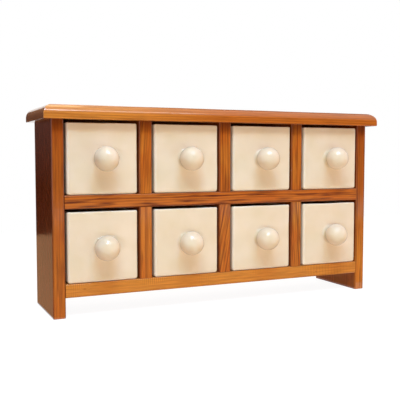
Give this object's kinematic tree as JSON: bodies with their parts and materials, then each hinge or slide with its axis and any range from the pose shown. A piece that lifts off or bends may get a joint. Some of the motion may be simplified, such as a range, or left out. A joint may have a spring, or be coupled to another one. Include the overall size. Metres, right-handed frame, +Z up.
{
  "type": "spice drawer cabinet",
  "caption": "Tabletop pine cabinet with two rows of open bays, each holding a pull-out glazed ceramic drawer with a ball knob, for spices and small things.",
  "frame": {"origin": "middle of the overall plan, knobs and top board included, at the level of the surface that the cabinet stands on", "axes": "+Z up, +X to the right seen from the front, -Y is the way the drawers pull out"},
  "size_m": [0.44, 0.121, 0.235],
  "materials": {
    "lacquered_pine": "gloss-lacquered pine, honey to amber",
    "hardboard": "bare brown hardboard",
    "beech_dowel": "bare turned beech",
    "staple_wire": "galvanised wire",
    "cream_glaze": "glossy cream glaze"
  },
  "bodies": {
    "cabinet": {"top_board": "lacquered_pine", "side_panel_left": "lacquered_pine", "side_panel_right": "lacquered_pine", "middle_shelf": "lacquered_pine", "bottom_board": "lacquered_pine", "divider_upper_1": "lacquered_pine", "divider_upper_2": "lacquered_pine", "divider_upper_3": "lacquered_pine", "divider_lower_1": "lacquered_pine", "divider_lower_2": "lacquered_pine", "divider_lower_3": "lacquered_pine", "back_panel": "hardboard", "dowels_top_to_sides": "beech_dowel", "dowels_shelf_to_sides": "beech_dowel", "dowels_bottom_to_sides": "beech_dowel", "dowels_top_to_dividers": "beech_dowel", "dowels_through_shelf": "beech_dowel", "dowels_bottom_to_dividers": "beech_dowel", "back_panel_staples": "staple_wire"},
    "drawer_upper_1": {"drawer_upper_1": "cream_glaze"},
    "drawer_upper_2": {"drawer_upper_2": "cream_glaze"},
    "drawer_upper_3": {"drawer_upper_3": "cream_glaze"},
    "drawer_upper_4": {"drawer_upper_4": "cream_glaze"},
    "drawer_lower_1": {"drawer_lower_1": "cream_glaze"},
    "drawer_lower_2": {"drawer_lower_2": "cream_glaze"},
    "drawer_lower_3": {"drawer_lower_3": "cream_glaze"},
    "drawer_lower_4": {"drawer_lower_4": "cream_glaze"}
  },
  "joints": [
    {"name": "drawer_upper_1_slide", "type": "slide", "parent": "cabinet", "child": "drawer_upper_1", "axis": [0, -1, 0], "range_m": [0, 0.1]},
    {"name": "drawer_upper_2_slide", "type": "slide", "parent": "cabinet", "child": "drawer_upper_2", "axis": [0, -1, 0], "range_m": [0, 0.1]},
    {"name": "drawer_upper_3_slide", "type": "slide", "parent": "cabinet", "child": "drawer_upper_3", "axis": [0, -1, 0], "range_m": [0, 0.1]},
    {"name": "drawer_upper_4_slide", "type": "slide", "parent": "cabinet", "child": "drawer_upper_4", "axis": [0, -1, 0], "range_m": [0, 0.1]},
    {"name": "drawer_lower_1_slide", "type": "slide", "parent": "cabinet", "child": "drawer_lower_1", "axis": [0, -1, 0], "range_m": [0, 0.1]},
    {"name": "drawer_lower_2_slide", "type": "slide", "parent": "cabinet", "child": "drawer_lower_2", "axis": [0, -1, 0], "range_m": [0, 0.1]},
    {"name": "drawer_lower_3_slide", "type": "slide", "parent": "cabinet", "child": "drawer_lower_3", "axis": [0, -1, 0], "range_m": [0, 0.1]},
    {"name": "drawer_lower_4_slide", "type": "slide", "parent": "cabinet", "child": "drawer_lower_4", "axis": [0, -1, 0], "range_m": [0, 0.1]}
  ]
}
